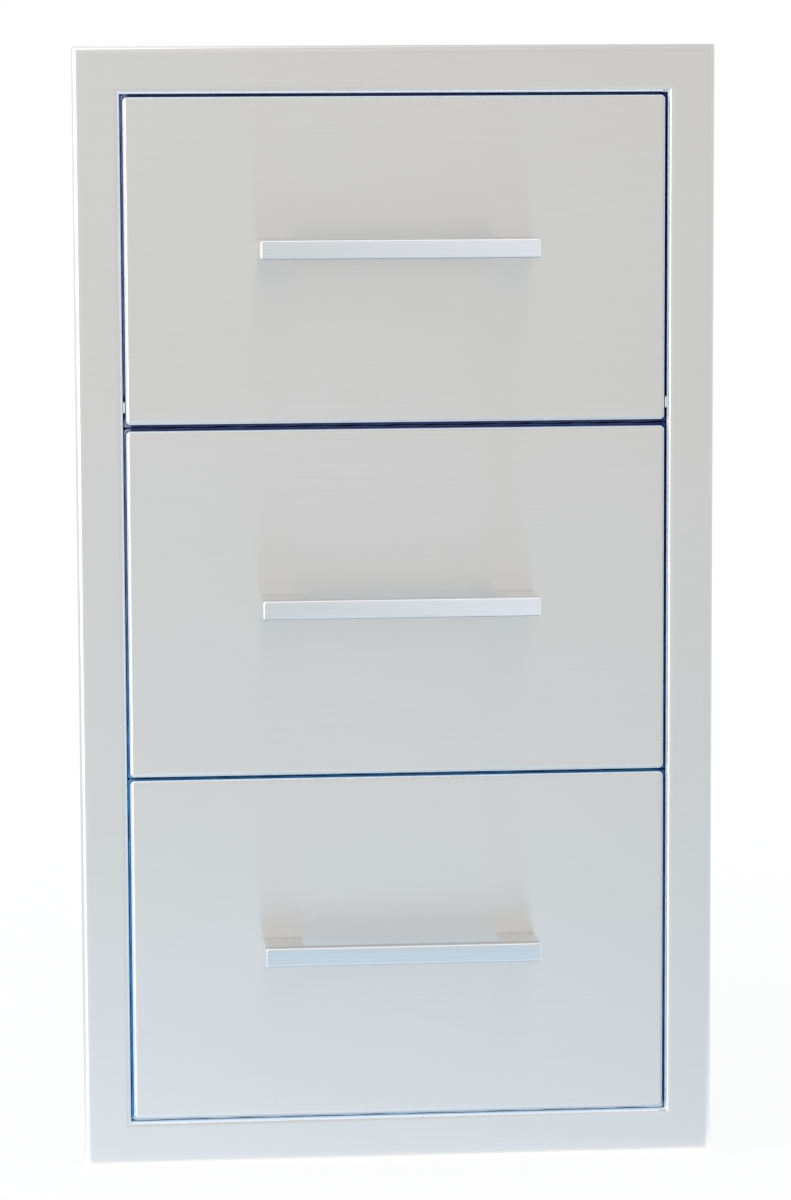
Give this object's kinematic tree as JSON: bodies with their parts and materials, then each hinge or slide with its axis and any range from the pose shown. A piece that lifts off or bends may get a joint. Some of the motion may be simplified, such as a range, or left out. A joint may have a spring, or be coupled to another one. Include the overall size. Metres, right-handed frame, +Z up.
{
  "type": "outdoor kitchen drawer unit",
  "caption": "Built-in stainless outdoor kitchen drawer unit: raised face frame, sheet steel cabinet, and stacked drawers with square bar handles on full-extension ball-bearing slides.",
  "frame": {"origin": "on the face frame's seat, which bears on the island's face, at the middle of the bottom rail", "axes": "+Z up, +Y into the island away from the user, +X to the user's right; drawers open towards -Y"},
  "size_m": [0.432, 0.551, 0.762],
  "materials": {
    "brushed_steel": "satin stainless with a fine straight grain, horizontal on the drawer fronts",
    "handle_steel": "fine satin stainless, near polished",
    "mill_steel": "cold-rolled stainless, dull mill finish",
    "slide_steel": "bright zinc plated, semi-gloss",
    "ball_steel": "polished bearing steel and bright strip",
    "screw_steel": "bright stainless machine screw",
    "nylon": "natural white nylon, matte"
  },
  "bodies": {
    "cabinet": {"face_frame": "brushed_steel", "cabinet_side_left": "mill_steel", "cabinet_side_right": "mill_steel", "cabinet_top": "mill_steel", "cabinet_bottom": "mill_steel", "cabinet_back": "mill_steel", "jamb_bumper_left": "nylon", "jamb_bumper_right": "nylon", "slide_cabinet_member_top_left": "slide_steel", "slide_cabinet_member_top_right": "slide_steel", "slide_cabinet_member_middle_left": "slide_steel", "slide_cabinet_member_middle_right": "slide_steel", "slide_cabinet_member_bottom_left": "slide_steel", "slide_cabinet_member_bottom_right": "slide_steel"},
    "drawer_top": {"front_panel_top": "brushed_steel", "front_liner_top": "mill_steel", "drawer_body_top": "mill_steel", "drawer_back_top": "mill_steel", "handle_top": "handle_steel", "handle_screw_top_left": "screw_steel", "handle_screw_top_right": "screw_steel", "slide_drawer_member_top_left": "slide_steel", "slide_drawer_member_top_right": "slide_steel"},
    "drawer_middle": {"front_panel_middle": "brushed_steel", "front_liner_middle": "mill_steel", "drawer_body_middle": "mill_steel", "drawer_back_middle": "mill_steel", "handle_middle": "handle_steel", "handle_screw_middle_left": "screw_steel", "handle_screw_middle_right": "screw_steel", "slide_drawer_member_middle_left": "slide_steel", "slide_drawer_member_middle_right": "slide_steel"},
    "drawer_bottom": {"front_panel_bottom": "brushed_steel", "front_liner_bottom": "mill_steel", "drawer_body_bottom": "mill_steel", "drawer_back_bottom": "mill_steel", "handle_bottom": "handle_steel", "handle_screw_bottom_left": "screw_steel", "handle_screw_bottom_right": "screw_steel", "slide_drawer_member_bottom_left": "slide_steel", "slide_drawer_member_bottom_right": "slide_steel"},
    "middle_rails_top": {"slide_middle_member_top_left": "slide_steel", "slide_middle_member_top_right": "slide_steel"},
    "middle_rails_middle": {"slide_middle_member_middle_left": "slide_steel", "slide_middle_member_middle_right": "slide_steel"},
    "middle_rails_bottom": {"slide_middle_member_bottom_left": "slide_steel", "slide_middle_member_bottom_right": "slide_steel"},
    "outer_cages_top": {"ball_cage_outer_top_left": "ball_steel", "ball_cage_outer_top_right": "ball_steel"},
    "outer_cages_middle": {"ball_cage_outer_middle_left": "ball_steel", "ball_cage_outer_middle_right": "ball_steel"},
    "outer_cages_bottom": {"ball_cage_outer_bottom_left": "ball_steel", "ball_cage_outer_bottom_right": "ball_steel"},
    "inner_cages_top": {"ball_cage_inner_top_left": "ball_steel", "ball_cage_inner_top_right": "ball_steel"},
    "inner_cages_middle": {"ball_cage_inner_middle_left": "ball_steel", "ball_cage_inner_middle_right": "ball_steel"},
    "inner_cages_bottom": {"ball_cage_inner_bottom_left": "ball_steel", "ball_cage_inner_bottom_right": "ball_steel"}
  },
  "joints": [
    {"name": "drawer_top_slide", "type": "slide", "parent": "cabinet", "child": "drawer_top", "axis": [0, -1, 0], "range_m": [0, 0.45]},
    {"name": "drawer_middle_slide", "type": "slide", "parent": "cabinet", "child": "drawer_middle", "axis": [0, -1, 0], "range_m": [0, 0.45]},
    {"name": "drawer_bottom_slide", "type": "slide", "parent": "cabinet", "child": "drawer_bottom", "axis": [0, -1, 0], "range_m": [0, 0.45]},
    {"name": "middle_rails_top_slide", "type": "slide", "parent": "cabinet", "child": "middle_rails_top", "axis": [0, -1, 0], "range_m": [0, 0.225]},
    {"name": "middle_rails_middle_slide", "type": "slide", "parent": "cabinet", "child": "middle_rails_middle", "axis": [0, -1, 0], "range_m": [0, 0.225]},
    {"name": "middle_rails_bottom_slide", "type": "slide", "parent": "cabinet", "child": "middle_rails_bottom", "axis": [0, -1, 0], "range_m": [0, 0.225]},
    {"name": "outer_cages_top_slide", "type": "slide", "parent": "cabinet", "child": "outer_cages_top", "axis": [0, -1, 0], "range_m": [0, 0.1125]},
    {"name": "outer_cages_middle_slide", "type": "slide", "parent": "cabinet", "child": "outer_cages_middle", "axis": [0, -1, 0], "range_m": [0, 0.1125]},
    {"name": "outer_cages_bottom_slide", "type": "slide", "parent": "cabinet", "child": "outer_cages_bottom", "axis": [0, -1, 0], "range_m": [0, 0.1125]},
    {"name": "inner_cages_top_slide", "type": "slide", "parent": "cabinet", "child": "inner_cages_top", "axis": [0, -1, 0], "range_m": [0, 0.3375]},
    {"name": "inner_cages_middle_slide", "type": "slide", "parent": "cabinet", "child": "inner_cages_middle", "axis": [0, -1, 0], "range_m": [0, 0.3375]},
    {"name": "inner_cages_bottom_slide", "type": "slide", "parent": "cabinet", "child": "inner_cages_bottom", "axis": [0, -1, 0], "range_m": [0, 0.3375]}
  ],
  "couplings": [
    {"joint": "middle_rails_top_slide", "follows": "drawer_top_slide", "ratio": 0.5},
    {"joint": "middle_rails_middle_slide", "follows": "drawer_middle_slide", "ratio": 0.5},
    {"joint": "middle_rails_bottom_slide", "follows": "drawer_bottom_slide", "ratio": 0.5},
    {"joint": "outer_cages_top_slide", "follows": "drawer_top_slide", "ratio": 0.25},
    {"joint": "outer_cages_middle_slide", "follows": "drawer_middle_slide", "ratio": 0.25},
    {"joint": "outer_cages_bottom_slide", "follows": "drawer_bottom_slide", "ratio": 0.25},
    {"joint": "inner_cages_top_slide", "follows": "drawer_top_slide", "ratio": 0.75},
    {"joint": "inner_cages_middle_slide", "follows": "drawer_middle_slide", "ratio": 0.75},
    {"joint": "inner_cages_bottom_slide", "follows": "drawer_bottom_slide", "ratio": 0.75}
  ]
}
